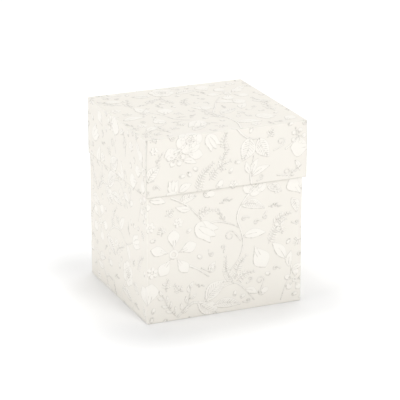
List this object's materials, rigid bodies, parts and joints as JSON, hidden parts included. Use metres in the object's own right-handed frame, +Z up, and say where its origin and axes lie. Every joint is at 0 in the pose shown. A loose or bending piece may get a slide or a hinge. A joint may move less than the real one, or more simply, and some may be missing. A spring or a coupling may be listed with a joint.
{
  "type": "lidded favour box",
  "caption": "Small square-cornered gift box of folded embossed card: a tall body with a snap-lock bottom and a deep lift-off lid with glued corners.",
  "frame": {"origin": "centre of the closed box's base, on the surface that it stands on", "axes": "+Z up, +X along the front wall to the viewer's right, +Y from the front wall to the back wall"},
  "size_m": [0.08, 0.075, 0.089],
  "materials": {
    "embossed_card": "satin",
    "inner_card": "matte",
    "adhesive": "satin"
  },
  "bodies": {
    "box_body": {"body_front_wall": "embossed_card", "body_right_wall": "embossed_card", "body_back_wall": "embossed_card", "body_left_wall": "embossed_card", "body_glue_flap": "inner_card", "body_seam_glue": "adhesive", "bottom_front_flap": "inner_card", "bottom_lock_tongue": "inner_card", "bottom_left_flap": "inner_card", "bottom_right_flap": "inner_card", "bottom_slotted_flap": "inner_card"},
    "lid": {"lid_top_panel": "embossed_card", "lid_front_skirt": "embossed_card", "lid_back_skirt": "embossed_card", "lid_left_skirt": "embossed_card", "lid_right_skirt": "embossed_card", "lid_tab_front_left": "inner_card", "lid_tab_front_right": "inner_card", "lid_tab_back_left": "inner_card", "lid_tab_back_right": "inner_card", "lid_glue_front_left": "adhesive", "lid_glue_front_right": "adhesive", "lid_glue_back_left": "adhesive", "lid_glue_back_right": "adhesive"}
  },
  "joints": [
    {"name": "lid_lift", "type": "slide", "parent": "box_body", "child": "lid", "axis": [0, 0, 1], "range_m": [0, 0.045]}
  ]
}
